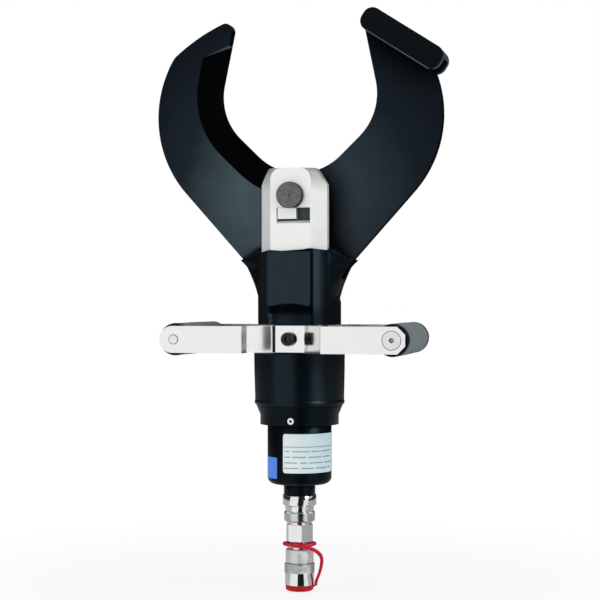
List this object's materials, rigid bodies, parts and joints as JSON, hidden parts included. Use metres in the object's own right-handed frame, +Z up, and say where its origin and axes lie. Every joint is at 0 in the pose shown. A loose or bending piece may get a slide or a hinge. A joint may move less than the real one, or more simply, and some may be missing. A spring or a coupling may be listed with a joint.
{
  "type": "hydraulic cable cutting head",
  "caption": "Hydraulic scissor-type cable cutting head: curved blades on one pivot pin, a black barrel with a cross handle, and a quick coupler with a dust cap on a strap.",
  "frame": {"origin": "centre of the hose coupler's mouth, on the tool's axis", "axes": "+Z up the tool's axis from the coupler to the blades; -Y is the front with the pin's keeper; +X is the side of the blade guide; the blades turn about Y"},
  "size_m": [0.2911, 0.1441, 0.5755],
  "materials": {
    "blade_steel": "satin black oxide on ground tool steel",
    "clevis_metal": "bright satin milled",
    "pin_steel": "turned, slightly oxidised",
    "barrel_paint": "satin black coat",
    "boot_rubber": "semi-matt moulded",
    "bar_metal": "bright satin",
    "grip_rubber": "matt grey",
    "ring_plastic": "black moulded",
    "coupler_nickel": "polished nickel plate",
    "red_plastic": "soft moulded red",
    "black_screw": "black oxide",
    "zinc_screw": "zinc plated",
    "inner_steel": "ground and hardened",
    "spring_steel": "oil tempered wire",
    "bronze": "plain bearing bronze",
    "seal_rubber": "nitrile"
  },
  "bodies": {
    "body": {"coupler_body": "coupler_nickel", "poppet": "inner_steel", "poppet_spring": "spring_steel", "coupler_sleeve": "coupler_nickel", "cap_strap": "red_plastic", "hose_nipple": "coupler_nickel", "swivel_ring": "coupler_nickel", "neck_adapter": "barrel_paint", "end_cap": "barrel_paint", "end_cap_seal": "seal_rubber", "barrel": "barrel_paint", "lock_screw": "zinc_screw", "barrel_sleeve": "boot_rubber", "return_spring": "spring_steel", "thrust_washers": "bronze", "clevis": "clevis_metal", "pivot_pin": "pin_steel", "pin_keeper": "clevis_metal", "gland_bush": "bronze", "rod_wiper": "seal_rubber", "handle_bar_front": "bar_metal", "handle_bar_rear": "bar_metal", "handle_screws": "black_screw", "grip_rods": "zinc_screw", "grip_end_screws": "zinc_screw", "grip_left": "grip_rubber", "grip_right": "grip_rubber", "grip_end_rings": "ring_plastic", "rubber_boot": "boot_rubber"},
    "ram": {"piston": "inner_steel", "piston_seal": "seal_rubber", "piston_guide_ring": "bronze", "piston_rod": "inner_steel", "crosshead": "inner_steel", "cam_pin": "inner_steel"},
    "left_blade": {"blade_left": "blade_steel", "bush_left": "bronze"},
    "right_blade": {"blade_right": "blade_steel", "bush_right": "bronze", "blade_guide": "blade_steel", "guide_screws": "black_screw"},
    "collar": {"coupler_collar": "coupler_nickel"},
    "cap": {"dust_cap": "red_plastic"}
  },
  "joints": [
    {"name": "left_blade_swing", "type": "hinge", "parent": "body", "child": "left_blade", "pos_m": [0, 0, 0.39], "axis": [0, 1, 0], "range_deg": [0, 45]},
    {"name": "right_blade_swing", "type": "hinge", "parent": "body", "child": "right_blade", "pos_m": [0, 0, 0.39], "axis": [0, -1, 0], "range_deg": [0, 45]},
    {"name": "ram_stroke", "type": "slide", "parent": "body", "child": "ram", "axis": [0, 0, 1], "range_m": [0, 0.035], "deforming": ["return_spring"]},
    {"name": "collar_turn", "type": "hinge", "parent": "body", "child": "collar", "pos_m": [0, 0, 0.015], "axis": [0, 0, 1], "continuous": true},
    {"name": "dust_cap_swing", "type": "hinge", "parent": "body", "child": "cap", "pos_m": [0.0175, 0, 0.0044], "axis": [0, -1, 0], "range_deg": [0, 120]}
  ],
  "couplings": [
    {"joint": "right_blade_swing", "follows": "left_blade_swing", "ratio": 1},
    {"joint": "ram_stroke", "follows": "left_blade_swing", "m_per_rad": 0.044563}
  ]
}
